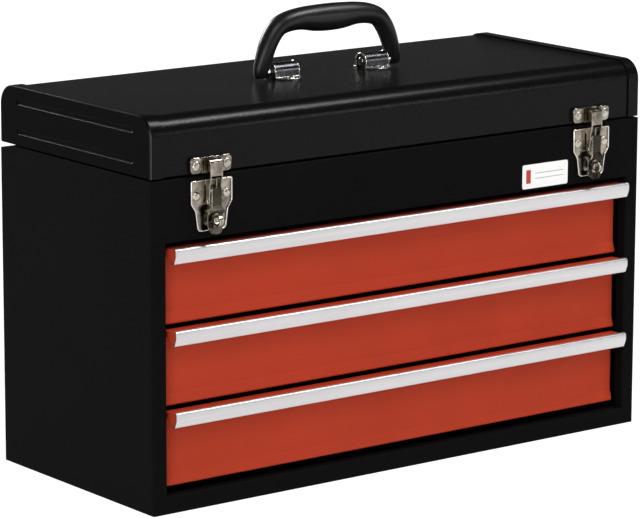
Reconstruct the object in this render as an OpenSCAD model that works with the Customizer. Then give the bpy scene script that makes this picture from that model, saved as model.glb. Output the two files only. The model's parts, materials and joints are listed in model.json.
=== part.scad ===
// Portable steel tool box: a cabinet with three drawers on ball slides under a lidded till.
// Millimetres. +X is to the right, +Y to the back, +Z up. The origin is the middle of the base.

/* [Cabinet] */
// Overall width of the box
body_w = 510; // [500:1:540]
// Depth of the cabinet from its front face to its back face
body_d = 220; // [216:1:240]
// Height of the cabinet up to the parting line
body_h = 270.5; // [268:0.5:280]
// Thickness of the folded sheet steel
sheet = 0.8; // [0.7:0.1:1.2]
// Width of the stile at each side of the drawers
stile_w = 13.3; // [12:0.1:15]
// Height of the rail under the lowest drawer
rail_h = 14.5; // [12:0.5:16]

/* [Drawers] */
// Distance from one drawer to the next
drawer_pitch = 66.2; // [65:0.1:67]
// Height of the top edge of the lowest drawer's pull
drawer_top = 83.6; // [82:0.1:84]
// Height of a drawer front with its pull
front_h = 63.7; // [62:0.1:64]
// Depth of the drawer faces behind the front face of the cabinet
front_recess = 11; // [9:0.5:12]
// Height of an aluminium pull
pull_h = 12.7; // [11:0.1:14]
// Height of a drawer's side walls
pan_h = 46; // [40:1:48]
// Length of the drawer slides
slide_len = 190; // [180:1:192]

/* [Lid] */
// Height of the lid skin over the parting line
lid_h = 47.5; // [44:0.5:60]
// Outer radius of the lid's long edges
lid_r = 16; // [12:1:18]
// Gap between the lid and the cabinet
lid_gap = 1.5; // [1:0.1:2]
// Width of the band that each end cap folds over the skin
cap_band = 12; // [10:1:15]

/* [Handle] */
// Distance between the middles of the handle's legs
leg_span = 140; // [139:0.5:150]
// Height of the grip's middle over the lid skin
grip_rise = 47; // [44:0.5:55]
// Radius of the plastic bushes that turn inside the straps
bush_r = 5.7; // [5.4:0.1:5.8]
// Offset of the handle to the right of the lid's middle
handle_x = 1.4; // [-3:0.1:3]

/* [Latches] */
// Distance between the middles of the two latches
latch_span = 398; // [380:1:410]
// Width of a latch's base plate
latch_w = 40; // [38:1:44]
// Radius of the hole in the padlock eye
eye_hole_r = 3; // [2.5:0.1:3]

/* [Hidden] */

$fn = 48;
eps = 0.1;
black_paint = "#26272a";
red_paint = "#a63f2c";
aluminium = "#dcdcda";
nickel = "#b9b4ab";
chrome = "#c9cbce";
zinc = "#a9abae";
black_plastic = "#1b1b1d";
white_vinyl = "#f2f2f0";

half_w = body_w / 2;
half_d = body_d / 2;
bend_r = 1;
flange_w = 7;
strip_t = 1;
pull_t = 1;

// Opening for the drawers, and the till above it
open_x = half_w - stile_w;
open_top = drawer_top + 2 * drawer_pitch + 3.5;
till_z = open_top + sheet;
frame_seam_y = -half_d + 4.2;
back_drop = 3.5;
back_drop_start = half_d - 19;

// Lid
lid_z = body_h + lid_gap;
skin_y = half_d - 1.9;
skin_top = lid_z + lid_h;
cap_t = 1.2;
cap_y = skin_y + cap_t + 0.05;
cap_top = skin_top + cap_t + 0.05;

// Rear hinge
hinge_r = 2.2;
hinge_pin_r = 1;
hinge_y = half_d + hinge_r;
hinge_z = body_h + 0.7;
hinge_len = 464;
knuckles = 37;
knuckle_len = hinge_len / knuckles;
run_fit = 0.05;

// Drawer slides: u runs out from the side of the drawer, v up from the middle of the slide
slide_u = 227.8;
slide_t = 10.2;
slide_half_h = 13.5;
ball_r = 1.75;
groove_r = 1.9;
ball_u = 5.5;
ball_v = 10.6;
slide_mid = 23;
slide_front = -slide_len / 2;
cage_len = 46;
cage_pitch = 8;
pan_rise = 4;
pan_back = 95;

// Latches: local x from the middle of the latch
plate_y = -half_d - 1.2;
lever_y = -half_d - 6;
lever_z = 258.9;
arm_y = lever_y + 1.5;
arm_z = lever_z - 9;
latch_pin_r = 1;
face_y = lever_y - 3.3;
eye_y = -half_d - 11.3;
eye_z = 235.2;
eye_r = 4.7;
eye_w = 4;
catch_y = -skin_y - 1.2;
ear_rise = 2.6;
latch_rivet_x = 14.5;
latch_rivet_z = 254.8;
catch_rivet_z = lid_z + 6.8;

// Handle
pivot_rise = 5.9;
pivot_z = skin_top + pivot_rise;
strap_t = 1.5;
strap_x0 = 35;
strap_x1 = 60.2;
leg_x = leg_span / 2;
foot_r = 5.3;
crown = grip_rise - pivot_rise;
pin_r = 3.4;

// Lid stay: the stud and the pivot lie at one radius from the hinge, above and below it
stay_r = 28;
stay_rise = 5.8;
stay_y = hinge_y - sqrt(stay_r * stay_r - stay_rise * stay_rise);
stay_x = -(half_w - sheet - flange_w - 1.3);
stay_t = 1.5;
stay_slot = [11.1, 48.7];
stud_r = 2;
stud_head_r = 3.7;

// ---------- Profiles ----------

function unit(v) = v / norm(v);
function left_of(v) = [-v.y, v.x] / norm(v);

// Points of the arc of radius r that rounds the corner at p
function corner(before, p, after, r) =
    let (u = unit(before - p), w = unit(after - p))
    r <= 0 || norm(cross([u.x, u.y, 0], [w.x, w.y, 0])) < 0.001 ? [p] :
    let (half = acos(u * w) / 2,
         centre = p + unit(u + w) * r / sin(half),
         from = p + u * r / tan(half) - centre,
         to = p + w * r / tan(half) - centre,
         a = atan2(from.y, from.x),
         turn = (atan2(to.y, to.x) - a + 540) % 360 - 180,
         steps = r > 3 ? 10 : 3)
    [for (i = [0:steps]) centre + r * [cos(a + turn * i / steps), sin(a + turn * i / steps)]];

// Closed outline with its corners rounded, each by r or by its own entry of r
function rounded(points, r) =
    let (n = len(points))
    [for (i = [0:n - 1])
        each corner(points[(i + n - 1) % n], points[i], points[(i + 1) % n], is_list(r) ? r[i] : r)];

// Section of a folded sheet: the line is one face, the sheet lies to its left, r is each inner radius
function folded(line, t, r) =
    let (m = len(line),
         side = [for (i = [0:m - 2]) left_of(line[i + 1] - line[i])],
         face = [for (i = [0:m - 1])
             i == 0 ? line[0] + t * side[0] :
             i == m - 1 ? line[i] + t * side[m - 2] :
             line[i] + t * (side[i - 1] + side[i]) / (1 + side[i - 1] * side[i])],
         radius = [for (i = [0:m - 1]) is_list(r) ? r[i] : r],
         leftward = [for (i = [1:m - 2]) side[i - 1].x * side[i].y - side[i - 1].y * side[i].x > 0 ? 1 : 0])
    concat(
        [line[0]],
        [for (i = [1:m - 2]) each corner(line[i - 1], line[i], line[i + 1], radius[i] + t * leftward[i - 1])],
        [line[m - 1], face[m - 1]],
        [for (i = [m - 2:-1:1])
            each corner(face[i + 1], face[i], face[i - 1], radius[i] + t * (1 - leftward[i - 1]))],
        [face[0]]);

// Extrude a (Y, Z) outline along X, an (X, Z) outline along Y, or a plan outline along Z
module along_x(from, length) translate([from, 0, 0]) rotate([90, 0, 90]) linear_extrude(length) children();
module along_y(from, length) translate([0, from + length, 0]) rotate([90, 0, 0])
    linear_extrude(length) children();
module along_z(from, length) translate([0, 0, from]) linear_extrude(length) children();

module rod_x(r, from, to, y, z) translate([from, y, z]) rotate([0, 90, 0]) cylinder(r = r, h = to - from);
module rod_y(r, from, to, x, z) translate([x, from, z]) rotate([-90, 0, 0]) cylinder(r = r, h = to - from);
module both_sides() for (side = [0, 1]) mirror([side, 0, 0]) children();

// Dome of a rivet head: a cap of height h over a circle of radius r
module dome(r, h) {
    ball = (r * r + h * h) / (2 * h);
    intersection() {
        translate([0, 0, h - ball]) sphere(r = ball);
        cylinder(r = r + 1, h = h + 1);
    }
}

// Tray folded from sheet, with walls of height h round its floor
module folded_tray(half_x, y0, y1, z, h) {
    difference() {
        along_z(z, h) polygon(rounded([[-half_x, y0], [half_x, y0], [half_x, y1], [-half_x, y1]], 1.5));
        translate([-half_x + sheet, y0 + sheet, z + sheet])
            cube([2 * (half_x - sheet), y1 - y0 - 2 * sheet, h]);
    }
}

// ---------- Cabinet ----------

module cabinet_shell() color(black_paint) {
    wrap = [[half_w, frame_seam_y + 0.1], [half_w, half_d], [-half_w, half_d], [-half_w, frame_seam_y + 0.1]];
    rim_z = body_h - back_drop - sheet;
    difference() {
        union() {
            along_z(0, body_h) polygon(folded(wrap, sheet, bend_r));
            both_sides() translate([half_w - sheet - flange_w, -half_d + 9.5, body_h - sheet])
                cube([flange_w + eps, back_drop_start + half_d - 9.5, sheet]);
            translate([-half_w + bend_r + sheet, half_d - sheet - flange_w, rim_z])
                cube([body_w - 2 * (bend_r + sheet), flange_w + eps, sheet]);
        }
        along_x(-half_w - 1, body_w + 2) polygon([
            [back_drop_start, body_h], [half_d, body_h - back_drop], [half_d + 1, body_h - back_drop],
            [half_d + 1, body_h + 1], [back_drop_start, body_h + 1]]);
        along_x(-half_w + 2, body_w - 4) polygon([
            [half_d - sheet - eps, body_h - back_drop], [half_d + 1, body_h - back_drop],
            [half_d + 1, body_h + 1], [half_d - sheet - eps, body_h + 1]]);
    }
}

module bottom_pan() color(black_paint)
    folded_tray(half_w - sheet - 0.1, -half_d + sheet + 0.1, half_d - sheet - 0.1, 0, 12);

module front_frame() color(black_paint) {
    face = [[-half_w, frame_seam_y], [-half_w, -half_d], [half_w, -half_d], [half_w, frame_seam_y]];
    lap = 1.8;
    fold = 10;
    top_fold = 8;
    difference() {
        along_z(0, body_h) polygon(folded(face, sheet, bend_r));
        // Window up to the bends of its edges, narrower over the top of the stiles
        translate([-open_x - lap, -half_d - 1, rail_h - lap])
            cube([2 * (open_x + lap), 3, open_top + sheet - rail_h + lap]);
        translate([-open_x, -half_d - 1, rail_h]) cube([2 * open_x, 3, open_top - rail_h + lap]);
        translate([-half_w + 4, -half_d - 1, body_h - lap]) cube([body_w - 8, 3, lap + 1]);
    }
    both_sides() along_z(rail_h - lap, open_top + sheet - rail_h + lap)
        polygon(folded([[open_x, -half_d + fold], [open_x, -half_d], [open_x + lap, -half_d]], sheet, 0.6));
    along_x(-open_x, 2 * open_x) {
        polygon(folded([[-half_d + fold, rail_h], [-half_d, rail_h], [-half_d, rail_h - lap]], sheet, 0.6));
        polygon(folded([
            [-half_d, open_top + lap], [-half_d, open_top], [-half_d + fold, open_top]], sheet, 0.6));
    }
    along_x(-half_w + 4, body_w - 8) polygon(folded([
        [-half_d + top_fold, body_h], [-half_d, body_h], [-half_d, body_h - lap]], sheet, 0.6));
}

module till_floor() color(black_paint)
    folded_tray(half_w - sheet - 0.1, -half_d + sheet + 0.8, half_d - sheet - 0.1, till_z, 9);

// Hat-section post between the side panel and the slides
module upright(right, y) color(black_paint) {
    wall_x = half_w - sheet;
    web_x = slide_u + slide_t + sheet;
    hat = [[wall_x, y - 20], [wall_x, y - 12], [web_x, y - 12],
           [web_x, y + 12], [wall_x, y + 12], [wall_x, y + 20]];
    mirror([right ? 0 : 1, 0, 0])
        along_z(12.2, till_z - 12.4) polygon(folded(hat, sheet, 0.8));
}
module upright_front_left() upright(false, slide_front + 18);
module upright_rear_left() upright(false, -slide_front - 18);
module upright_front_right() upright(true, slide_front + 18);
module upright_rear_right() upright(true, -slide_front - 18);

module label_plate() color(white_vinyl)
    along_y(-half_d - 0.5, 0.5) polygon(rounded([
        [123.9, 221.8], [174.2, 221.8], [174.2, 242.4], [123.9, 242.4]], 1.6));

// ---------- Drawer slides ----------

function drawer_shift(n) = (n - 1) * drawer_pitch;
function pan_z(n) = drawer_top - front_h + pan_rise + drawer_shift(n);
function slide_z(n) = pan_z(n) + slide_mid;

// Half ring that forms one raceway: outside the row of balls for sign 1, inside it for -1
module raceway(sign, gap) {
    difference() {
        translate([ball_u, ball_v]) circle(r = groove_r + strip_t);
        translate([ball_u, ball_v]) circle(r = groove_r);
        translate([ball_u - 5, sign > 0 ? ball_v - 5 + gap : ball_v - gap]) square([10, 5]);
    }
}

module outer_rail_section() {
    translate([slide_t - strip_t, -slide_half_h]) square([strip_t, 2 * slide_half_h]);
    for (flip = [0, 1]) mirror([0, flip]) {
        raceway(1, 0.4);
        translate([ball_u, slide_half_h - strip_t]) square([slide_t - ball_u, strip_t]);
    }
}

module inner_rail_section() {
    flange_v = ball_v - groove_r - strip_t;
    translate([0, -flange_v - strip_t]) square([strip_t, 2 * (flange_v + strip_t)]);
    for (flip = [0, 1]) mirror([0, flip]) {
        raceway(-1, 0.4);
        translate([0, flange_v]) square([ball_u, strip_t]);
    }
}

// Cabinet rails of one drawer, each with a stop at its rear end
module outer_rails(n) color(zinc) both_sides() {
    translate([slide_u, 0, slide_z(n)]) {
        along_y(slide_front, slide_len) outer_rail_section();
        translate([3, -slide_front - eps, -6]) cube([slide_t - 3, strip_t + eps, 12]);
    }
}

module inner_rails(n) color(zinc) both_sides()
    translate([slide_u, 0, slide_z(n)]) along_y(slide_front, slide_len - 1) inner_rail_section();

// Retainer strip with its two rows of balls
module ball_cages(n) color(zinc) both_sides() translate([slide_u, 0, slide_z(n)]) {
    cage_t = 0.4;
    web_u = ball_u + groove_r + strip_t + 0.2;
    ball_count = floor(cage_len / cage_pitch);
    first_ball = -(ball_count - 1) / 2 * cage_pitch;
    difference() {
        along_y(-cage_len / 2, cage_len) {
            translate([web_u, -ball_v - cage_t / 2]) square([cage_t, 2 * ball_v + cage_t]);
            for (v = [-ball_v, ball_v])
                translate([2.8, v - cage_t / 2]) square([web_u - 2.8 + cage_t / 2, cage_t]);
        }
        for (i = [0:ball_count - 1], v = [-ball_v, ball_v])
            translate([ball_u, first_ball + i * cage_pitch, v - 1]) cylinder(r = ball_r + 0.1, h = 2);
    }
    for (i = [0:ball_count - 1], v = [-ball_v, ball_v])
        translate([ball_u, first_ball + i * cage_pitch, v]) sphere(r = ball_r);
}

// ---------- Drawers ----------

module drawer_pan(n) color(black_paint) {
    z = pan_z(n);
    front_y = -half_d + front_recess + sheet;
    lip = 4;
    wall = [[-slide_u + lip, z + pan_h], [-slide_u, z + pan_h], [-slide_u, z],
            [slide_u, z], [slide_u, z + pan_h], [slide_u - lip, z + pan_h]];
    along_y(front_y, pan_back - front_y) polygon(folded(wall, sheet, 0.8));
    for (y = [front_y, pan_back - sheet]) translate([-slide_u + sheet / 2, y, z + sheet / 2])
        cube([2 * slide_u - sheet, sheet, pan_h - sheet / 2]);
}

module drawer_front(n) color(red_paint) {
    top = drawer_top + drawer_shift(n);
    bottom = top - front_h;
    face = -half_d + front_recess;
    lip_y = -half_d - 5.4;
    lip_z = top - 1.4 - sheet;
    flare = 3;
    half = open_x - 4.4;
    along_x(-half, 2 * half) polygon(folded([
        [lip_y, top - 7.6], [lip_y, lip_z], [face, lip_z], [face, bottom + 10],
        [face - flare, bottom], [face + 4, bottom]], sheet, 0.8));
    // Gussets that close the ends of the finger channel
    both_sides() along_x(half - sheet, sheet) polygon([
        [face + 0.5, lip_z + 0.6], [face + 0.5, lip_z - 2], [-half_d - 2.9, top - 11.3],
        [-half_d - 4.3, top - 11.3], [lip_y, top - 8], [lip_y, lip_z + 0.6]]);
}

module drawer_pull(n) color(aluminium) {
    top = drawer_top + drawer_shift(n);
    nose = -half_d - 8.2;
    half = open_x - 3.7;
    along_x(-half, 2 * half) polygon(folded([
        [nose + 4.2, top], [nose, top], [nose, top - pull_h / 2],
        [nose + 2.6, top - pull_h], [nose + 5.6, top - pull_h]], pull_t, [0, 0.9, 6, 0.6, 0]));
}

// ---------- Rear hinge ----------

module knuckle_ring() difference() {
    circle(r = hinge_r);
    circle(r = hinge_pin_r + run_fit);
}

// Every second knuckle of the hinge, with the tab that joins it to its leaf
module knuckle_row(first) {
    for (i = [first:2:knuckles - 1])
        along_x(-hinge_len / 2 + i * knuckle_len + 0.15, knuckle_len - 0.3)
            translate([hinge_y, hinge_z]) {
                knuckle_ring();
                children();
            }
}

module hinge_leaf_cabinet() color(black_paint) {
    leaf_top = -hinge_r - 0.4;
    knuckle_row(0) difference() {
        translate([-hinge_r, leaf_top - eps]) square([strip_t, eps - leaf_top]);
        circle(r = hinge_pin_r + run_fit);
    }
    along_x(-hinge_len / 2, hinge_len)
        translate([half_d, hinge_z + leaf_top - 18]) square([strip_t, 18]);
}

module hinge_leaf_lid() color(black_paint) {
    tab_top = 3;
    knuckle_row(1) polygon([
        [-hinge_r, 0], [-hinge_r + strip_t, 0], [-hinge_r + strip_t, tab_top + 0.3],
        [-hinge_r + 0.5, tab_top + 1], [-hinge_r, tab_top + 0.4]]);
    along_x(-hinge_len / 2, hinge_len) polygon(folded([
        [skin_y, hinge_z + 20], [skin_y, hinge_z + 7], [half_d, hinge_z + tab_top]], strip_t, 0.5));
}

module hinge_pin() color(zinc)
    rod_x(hinge_pin_r, -hinge_len / 2 - 0.5, hinge_len / 2 + 0.5, hinge_y, hinge_z);

// ---------- Lid ----------

module lid_skin() color(black_paint) {
    hem = 7;
    line = [[skin_y - hem, lid_z], [skin_y, lid_z], [skin_y, skin_top],
            [-skin_y, skin_top], [-skin_y, lid_z], [-skin_y + hem, lid_z]];
    difference() {
        along_x(-half_w + cap_t + 0.1, body_w - 2 * cap_t - 0.2)
            polygon(folded(line, sheet, [0, 0.5, lid_r - sheet, lid_r - sheet, 0.5, 0]));
        // The hems stop short of the caps
        both_sides() translate([half_w - cap_band, -skin_y + sheet + eps, lid_z - 1])
            cube([cap_band, 2 * (skin_y - sheet - eps), 3]);
    }
}

// Outline of an end cap, drawn in by d all round
function cap_outline(d) = rounded([
    [-cap_y + d, lid_z], [cap_y - d, lid_z], [cap_y - d, cap_top - d], [-cap_y + d, cap_top - d]],
    [0, 1.5, lid_r + cap_t - d, lid_r + cap_t - d]);

module lid_cap() {
    edge_r = 1.6;
    bead_end = 82;
    bead_r = 3.6;
    bead_depth = 1;
    bead_x = half_w + bead_r - bead_depth;
    beads = [lid_z + 11.5, lid_z + 36];
    difference() {
        hull() for (i = [0:3])
            along_x(half_w - cap_band, cap_band - edge_r * (1 - sin(30 * i)))
                polygon(cap_outline(edge_r * (1 - cos(30 * i))));
        along_x(half_w - cap_band - 1, cap_band + 1 - cap_t) polygon(rounded([
            [-skin_y - 0.05, lid_z - 1], [skin_y + 0.05, lid_z - 1],
            [skin_y + 0.05, skin_top + 0.05], [-skin_y - 0.05, skin_top + 0.05]],
            [0, 0, lid_r, lid_r]));
        for (z = beads) {
            rod_y(bead_r, -bead_end, bead_end, bead_x, z);
            for (y = [-bead_end, bead_end]) translate([bead_x, y, z]) sphere(r = bead_r);
        }
    }
    translate([half_w - cap_t - flange_w, -90, lid_z]) cube([flange_w + 0.2, 165, sheet]);
    // Inner side of the pressed beads
    difference() {
        intersection() {
            for (z = beads) rod_y(bead_r + cap_t - 0.2, -bead_end, bead_end, bead_x, z);
            translate([half_w - cap_t - 2, -90, lid_z]) cube([2.1, 180, lid_h]);
        }
        for (z = beads) rod_y(bead_r, -bead_end - 1, bead_end + 1, bead_x, z);
    }
}
module lid_cap_left() color(black_paint) mirror([1, 0, 0]) lid_cap();
module lid_cap_right() color(black_paint) lid_cap();

// ---------- Latches ----------

module at_latch(right) translate([(right ? 1 : -1) * latch_span / 2, 0, 0]) children();

function plate_outline(d) = rounded([
    [-latch_w / 2 + d, 267.5 - d], [-latch_w / 2 + d, 248.6], [-15.9 + d, 242.4], [-13.6 + d, 226.2 + d],
    [13.6 - d, 226.2 + d], [15.9 - d, 242.4], [latch_w / 2 - d, 248.6], [latch_w / 2 - d, 267.5 - d]],
    [1.5, 4, 6, 3.5, 3.5, 6, 4, 1.5]);

// The ear's upper edge falls away, to leave room for the top of the lever as it swings
module ear_outline() difference() {
    union() {
        translate([lever_y, lever_z]) circle(r = 2.2);
        polygon([
            [lever_y + 0.7, lever_z + 2.05], [plate_y + eps, lever_z + 0.3],
            [plate_y + eps, lever_z - 5], [lever_y - 0.7, lever_z - 2.05]]);
    }
    translate([lever_y, lever_z]) circle(r = latch_pin_r);
}

// Shield-shaped plate with a raised rim, two pressed pads and the two ears of the lever's pivot
module latch_plate(right) color(nickel) at_latch(right) {
    along_y(plate_y, -half_d - plate_y) polygon(plate_outline(0));
    along_y(plate_y - 0.9, 0.9 + eps) difference() {
        polygon(plate_outline(0));
        polygon(plate_outline(1.3));
    }
    both_sides() {
        along_x(2.3, 0.9) ear_outline();
        translate([latch_rivet_x, plate_y, latch_rivet_z]) rotate([90, 0, 0]) cylinder(r = 4.2, h = 0.5);
    }
}

module plate_rivets() color(nickel) for (right = [false, true]) at_latch(right) both_sides()
    translate([latch_rivet_x, plate_y - 0.5, latch_rivet_z]) rotate([90, 0, 0]) dome(3.3, 1.8);

module lever_pins() color(nickel) for (right = [false, true]) at_latch(right) {
    rod_x(latch_pin_r, -4.4, 4.4, lever_y, lever_z);
    both_sides() rod_x(1.6, 4.4, 4.7, lever_y, lever_z);
}

module padlock_eye(right) color(nickel) at_latch(right) difference() {
    union() {
        rod_x(eye_r, -eye_w / 2, eye_w / 2, eye_y, eye_z);
        translate([-eye_w / 2, eye_y, eye_z - 3]) cube([eye_w, plate_y - eye_y, 6]);
    }
    rod_x(eye_hole_r, -eye_w, eye_w, eye_y, eye_z);
}

// Half width of the lever's face, from its top down to its tongue
function lever_outline() = rounded([
    [-4.4, lever_z + 2.9], [-4.5, 245.6], [-7.3, 241.4], [-7.2, 232], [-6.2, 224],
    [6.2, 224], [7.2, 232], [7.3, 241.4], [4.5, 245.6], [4.4, lever_z + 2.9]],
    [1, 1.5, 2, 6, 5.4, 5.4, 6, 2, 1.5, 1]);

module lever(right) color(nickel) at_latch(right) {
    slot_top = eye_z + eye_r + 1.2;
    slot_low = eye_z - eye_r - 1.2;
    difference() {
        union() {
            intersection() {
                along_x(-8, 16) polygon(folded([
                    [face_y, lever_z + 4], [face_y, 247.2], [face_y - 1.6, 242], [face_y + 2.1, 239.7],
                    [face_y + 2.5, 230.5], [face_y + 0.8, 223.5]], strip_t, [0, 2, 0.8, 0.8, 4, 0]));
                along_y(face_y - 5, 12) polygon(lever_outline());
            }
            both_sides() along_x(3.4, 0.9) polygon(rounded([
                [face_y + 0.4, lever_z + 2.9], [lever_y + 2.9, lever_z + 2.9], [lever_y + 3.6, lever_z - 6],
                [lever_y + 3.2, lever_z - 11.8], [face_y + 0.4, lever_z - 12.6]], [0, 2, 2, 2, 0]));
        }
        rod_x(latch_pin_r + run_fit, -6, 6, lever_y, lever_z);
        rod_x(latch_pin_r, -6, 6, arm_y, arm_z);
        translate([-eye_w / 2 - 1, face_y - 5, slot_low + 2]) cube([eye_w + 2, 12, slot_top - slot_low - 4]);
        for (z = [slot_low + 2, slot_top - 2], x = [-1, 1])
            rod_y(2, face_y - 5, face_y + 7, x, z);
    }
}

module arm_pin(right) color(nickel) at_latch(right) {
    rod_x(latch_pin_r, -6.1, 6.1, arm_y, arm_z);
    both_sides() rod_x(1.8, 6.1, 6.8, arm_y, arm_z);
}

// Draw arm: two legs beside the lever carry a hood that reaches over the catch on the lid
module draw_arm(right) color(nickel) at_latch(right) {
    hood_y = face_y + 0.2;
    hood_top = lid_z + 12.2;
    hood_low = body_h + 0.3;
    rear = catch_y - 3.1;
    deep_rear = catch_y - 0.6;
    leg_r = 2.2;
    hood_line = [[rear, hood_top], [hood_y, hood_top], [hood_y, hood_low]];
    along_x(-5.9, 11.8) polygon(folded(hood_line, strip_t, [0, 2.4, 0]));
    both_sides() difference() {
        along_x(4.9, 1) polygon(rounded([
            [deep_rear, hood_top], [deep_rear, lid_z + 1.2], [rear, body_h - 1], [rear, lever_z + 6],
            [arm_y + leg_r, arm_z + 3], [arm_y + leg_r, arm_z - leg_r], [arm_y - leg_r, arm_z - leg_r],
            [arm_y - leg_r, arm_z + 3], [arm_y - leg_r - 0.8, lever_z + 3.6], [hood_y + 0.3, hood_low - 4],
            [hood_y, hood_low], [hood_y, hood_top]], [1, 0.6, 1, 4, 4, 2.1, 2.1, 4, 2, 1, 0, 3.4]));
        rod_x(latch_pin_r + run_fit, 4, 7, arm_y, arm_z);
    }
}

// Outline of a catch's ear, drawn in by d all round
function catch_ear(d) = rounded([
    [8.8 + d, lid_z + 0.3 + d], [latch_w / 2 - 0.5 - d, lid_z + 0.3 + d],
    [latch_w / 2 + 0.2 - d, lid_z + 13.8 - d], [8.8 + d, lid_z + 13.8 - d]], [2.6, 3.4, 3, 2.4]);

// Catch: a plate with a pressed-up ear at each side and the lip that the hood draws down
module catch_plate(right) color(nickel) at_latch(right) {
    keeper_z = lid_z + 7.5;
    edge_r = 1.2;
    along_y(catch_y, -skin_y - catch_y) polygon(rounded([
        [-latch_w / 2 + 1, lid_z + 0.4], [latch_w / 2 - 1, lid_z + 0.4],
        [latch_w / 2 - 0.5, lid_z + 13], [-latch_w / 2 + 0.5, lid_z + 13]], 3));
    both_sides() hull() for (i = [0:3])
        along_y(catch_y - ear_rise + edge_r * (1 - sin(30 * i)), ear_rise - edge_r * (1 - sin(30 * i)) + eps)
            polygon(catch_ear(edge_r * (1 - cos(30 * i))));
    along_x(-4.4, 8.8) polygon(folded([
        [catch_y + eps, keeper_z], [catch_y - 2.7, keeper_z], [catch_y - 2.7, keeper_z + 2.4]],
        strip_t, 0.2));
}

module catch_rivets() color(nickel) for (right = [false, true]) at_latch(right) both_sides()
    translate([latch_rivet_x + 0.3, catch_y - ear_rise, catch_rivet_z]) rotate([90, 0, 0]) dome(3.5, 1.9);

// ---------- Handle ----------

module at_handle() translate([handle_x, 0, 0]) children();

// Strap bent over the bush, with a tapered flange in front and behind
module handle_strap() {
    inner_r = bush_r + run_fit;
    outer_r = inner_r + strap_t;
    width = strap_x1 - strap_x0;
    difference() {
        union() {
            rod_x(outer_r, strap_x0, strap_x1, 0, pivot_z);
            translate([strap_x0, -outer_r, skin_top]) cube([width, 2 * outer_r, pivot_rise]);
            for (side = [0, 1]) mirror([0, side, 0]) along_z(skin_top, strap_t) polygon(rounded([
                [strap_x0, 4], [strap_x1, 4], [strap_x1, outer_r + 2.5], [strap_x1 - 6.5, outer_r + 10.5],
                [strap_x0 + 6.5, outer_r + 10.5], [strap_x0, outer_r + 2.5]], [0, 0, 3, 3, 3, 3]));
        }
        rod_x(inner_r, strap_x0 - 1, strap_x1 + 1, 0, pivot_z);
        translate([strap_x0 - 1, -inner_r, skin_top - 1]) cube([width + 2, 2 * inner_r, pivot_rise + 1]);
    }
}
module handle_bracket_left() color(chrome) at_handle() mirror([1, 0, 0]) handle_strap();
module handle_bracket_right() color(chrome) at_handle() handle_strap();

module bracket_rivets() color(chrome) at_handle() both_sides() for (y = [-13, 13])
    translate([(strap_x0 + strap_x1) / 2, y, skin_top + strap_t]) dome(3, 1.6);

// Plastic bushes between the legs and the far ends of the straps
module handle_bushes() color(black_plastic) at_handle() both_sides() difference() {
    rod_x(bush_r, strap_x0 + 1.5, leg_x - 9.2, 0, pivot_z);
    rod_x(pin_r, strap_x0, leg_x, 0, pivot_z);
}

// Steel pins pressed through the bushes into the legs
module handle_pins() color(zinc) at_handle() both_sides()
    rod_x(pin_r, strap_x0 - 0.5, leg_x + 3, 0, pivot_z);

// Middle of the grip from the crown to the foot: [x, height over the pivot, half height, half depth]
grip_line = [
    [0, crown, 11.9, 10.2], [14, crown + 0.2, 11.4, 10.2], [28, crown + 1, 9.8, 10],
    [42, crown - 0.4, 8.9, 9.6], [leg_x - 16.5, crown - 4.8, 8.3, 9], [leg_x - 8, crown - 16.5, 7.9, 8.4],
    [leg_x - 3.3, crown - 28.5, 7.7, 7.1], [leg_x - 0.4, crown - 37.5, 7.3, 5.9], [leg_x, 0, 6.9, foot_r]];

// Point at t along the grip by Catmull-Rom interpolation of its stations
function station(i) = grip_line[min(max(i, 0), len(grip_line) - 1)];
function blend(p, t) = 0.5 * (2 * p[1] + (p[2] - p[0]) * t + (2 * p[0] - 5 * p[1] + 4 * p[2] - p[3]) * t * t
    + (3 * p[1] - p[0] - 3 * p[2] + p[3]) * t * t * t);
function mirrored(s) = [-s[0], s[1], s[2], s[3]];
function grip_at(s) =
    let (i = floor(s), t = s - i)
    blend([i == 0 ? mirrored(grip_line[1]) : station(i - 1), station(i), station(i + 1), station(i + 2)], t);

// Foot of the leg: rings on a circle round the pivot, so that the handle clears the lid as it folds
function foot_ring(a) = [leg_x, -foot_r * sin(a), 6.9 - 4 * (1 - cos(a)), foot_r * cos(a)];

// Ring of the sweep: centre c, across direction n in the plane of the grip, half sizes b and a
function ring(c, n, b, a, sides) = [for (k = [0:sides - 1])
    let (u = cos(360 * k / sides), w = sin(360 * k / sides))
    [c.x + n.x * b * u, a * w, c.y + n.y * b * u]];

module handle_grip() color(black_plastic) at_handle() {
    sides = 16;
    per_station = 3;
    last = (len(grip_line) - 1) * per_station;
    arm = [for (k = [0:last - 1]) grip_at(k / per_station)];
    half = concat(arm, [for (a = [0, 28, 52, 68]) foot_ring(a)]);
    m = len(half);
    whole = concat([for (k = [m - 1:-1:1]) mirrored(half[k])], half);
    count = len(whole);
    rings = [for (k = [0:count - 1])
        let (s = whole[k],
             leg = abs(s[0]) > leg_x - 0.01,
             d = leg ? [0, s[0] < 0 ? 1 : -1] :
                 unit([whole[k + 1][0] - whole[k - 1][0], whole[k + 1][1] - whole[k - 1][1]]))
        ring([s[0], s[1] + pivot_z], [-d.y, d.x], s[2], s[3], sides)];
    difference() {
        polyhedron(
            points = [for (r = rings) each r],
            faces = concat(
                [[for (k = [0:sides - 1]) k]],
                [for (r = [0:count - 2], k = [0:sides - 1]) each [
                    [r * sides + k, (r + 1) * sides + k, (r + 1) * sides + (k + 1) % sides],
                    [r * sides + k, (r + 1) * sides + (k + 1) % sides, r * sides + (k + 1) % sides]]],
                [[for (k = [sides - 1:-1:0]) (count - 1) * sides + k]]),
            convexity = 4);
        both_sides() rod_x(pin_r + run_fit, strap_x1, leg_x + 3, 0, pivot_z);
    }
}

// ---------- Lid stay ----------

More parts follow.
